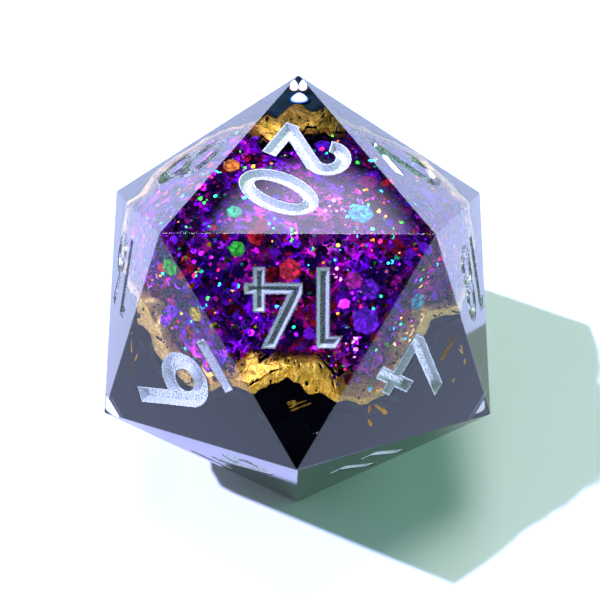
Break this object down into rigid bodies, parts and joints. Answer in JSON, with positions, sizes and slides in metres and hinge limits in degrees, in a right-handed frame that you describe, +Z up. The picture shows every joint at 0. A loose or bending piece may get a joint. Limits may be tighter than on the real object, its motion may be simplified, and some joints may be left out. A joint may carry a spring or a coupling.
{
  "type": "polyhedral die",
  "caption": "Sharp-edged regular icosahedron die cast in black, glitter and clear resin with a gold leaf joint and silver-lined recessed numerals.",
  "frame": {"origin": "centre of the footprint on the table, under the centre of face 1, which the die stands on", "axes": "+Z up through the centre of face 20; -Y towards the corner shared by faces 14, 6, 4, 9 and 11, which is the front; +X to the right, along the edge shared by faces 20 and 14"},
  "size_m": [0.0214, 0.0248, 0.02],
  "materials": {
    "black_resin": "polished opaque black casting resin",
    "glitter_resin": "polished violet casting resin packed with holographic glitter",
    "clear_resin": "polished clear casting resin",
    "gold_leaf": "crumpled gold leaf set in clear resin",
    "silver_paint": "fine-grained silver paint",
    "violet_flake": "metallised film, violet",
    "magenta_flake": "metallised film, magenta",
    "red_flake": "metallised film, red",
    "orange_flake": "metallised film, orange",
    "yellow_flake": "metallised film, yellow",
    "green_flake": "metallised film, green",
    "teal_flake": "metallised film, teal",
    "cyan_flake": "metallised film, cyan"
  },
  "bodies": {
    "root": {"black_resin_base": "black_resin", "clear_tip_back": "clear_resin", "clear_tip_left": "clear_resin", "clear_tip_right": "clear_resin", "glitter_flake_1": "violet_flake", "glitter_flake_10": "cyan_flake", "glitter_flake_11": "magenta_flake", "glitter_flake_12": "violet_flake", "glitter_flake_2": "magenta_flake", "glitter_flake_3": "red_flake", "glitter_flake_4": "green_flake", "glitter_flake_5": "cyan_flake", "glitter_flake_6": "orange_flake", "glitter_flake_7": "teal_flake", "glitter_flake_8": "yellow_flake", "glitter_flake_9": "green_flake", "glitter_resin_body": "glitter_resin", "gold_leaf_seam": "gold_leaf", "numeral_1": "silver_paint", "numeral_10_tens": "silver_paint", "numeral_10_units": "silver_paint", "numeral_11_tens": "silver_paint", "numeral_11_units": "silver_paint", "numeral_12_tens": "silver_paint", "numeral_12_units": "silver_paint", "numeral_13_tens": "silver_paint", "numeral_13_units": "silver_paint", "numeral_14_tens": "silver_paint", "numeral_14_units": "silver_paint", "numeral_15_tens": "silver_paint", "numeral_15_units": "silver_paint", "numeral_16_tens": "silver_paint", "numeral_16_units": "silver_paint", "numeral_17_tens": "silver_paint", "numeral_17_units": "silver_paint", "numeral_18_tens": "silver_paint", "numeral_18_units": "silver_paint", "numeral_19_tens": "silver_paint", "numeral_19_units": "silver_paint", "numeral_2": "silver_paint", "numeral_20_tens": "silver_paint", "numeral_20_units": "silver_paint", "numeral_3": "silver_paint", "numeral_4": "silver_paint", "numeral_5": "silver_paint", "numeral_6": "silver_paint", "numeral_6_bar": "silver_paint", "numeral_7": "silver_paint", "numeral_8": "silver_paint", "numeral_9": "silver_paint", "numeral_9_bar": "silver_paint"}
  },
  "joints": []
}
